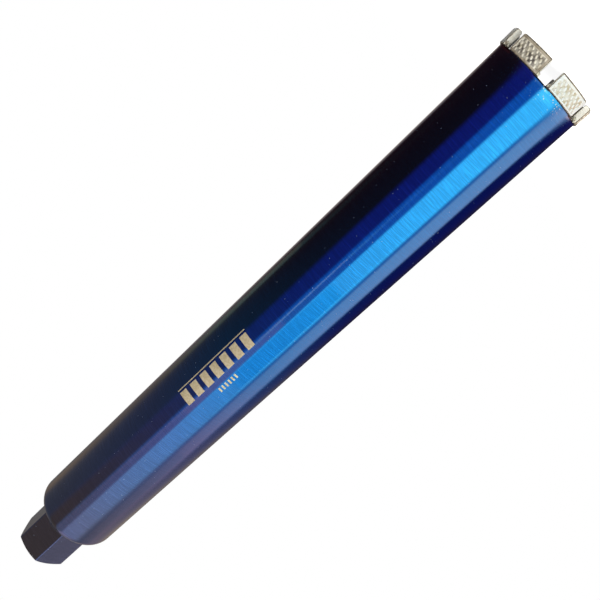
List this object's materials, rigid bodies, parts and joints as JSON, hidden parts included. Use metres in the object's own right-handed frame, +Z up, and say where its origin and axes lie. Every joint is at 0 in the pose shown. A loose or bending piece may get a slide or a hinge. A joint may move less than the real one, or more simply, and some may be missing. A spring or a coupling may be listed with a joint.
{
  "type": "diamond core bit",
  "caption": "Diamond core drill bit: a lacquered steel tube with a brazed segmented crown at one end and a welded hexagonal hub with a threaded socket at the other.",
  "frame": {"origin": "on the tube's axis at the tips of the segments, on which the bit stands", "axes": "+Z up the axis from the crown to the hub; +X through the middle of segment_1"},
  "size_m": [0.068, 0.0672, 0.528],
  "materials": {
    "lacquered_tube": "clear blue lacquer over brushed steel, bare steel inside",
    "lacquered_hub": "thin blue-grey lacquer over turned and milled steel",
    "sintered_metal": "matt sintered bronze and diamond, silver to tan",
    "silver_braze": "bright solidified alloy"
  },
  "bodies": {
    "root": {"barrel": "lacquered_tube", "hub": "lacquered_hub", "segment_1": "sintered_metal", "segment_2": "sintered_metal", "segment_3": "sintered_metal", "segment_4": "sintered_metal", "segment_5": "sintered_metal", "segment_6": "sintered_metal", "braze_seam_1": "silver_braze", "braze_seam_2": "silver_braze", "braze_seam_3": "silver_braze", "braze_seam_4": "silver_braze", "braze_seam_5": "silver_braze", "braze_seam_6": "silver_braze"}
  },
  "joints": []
}
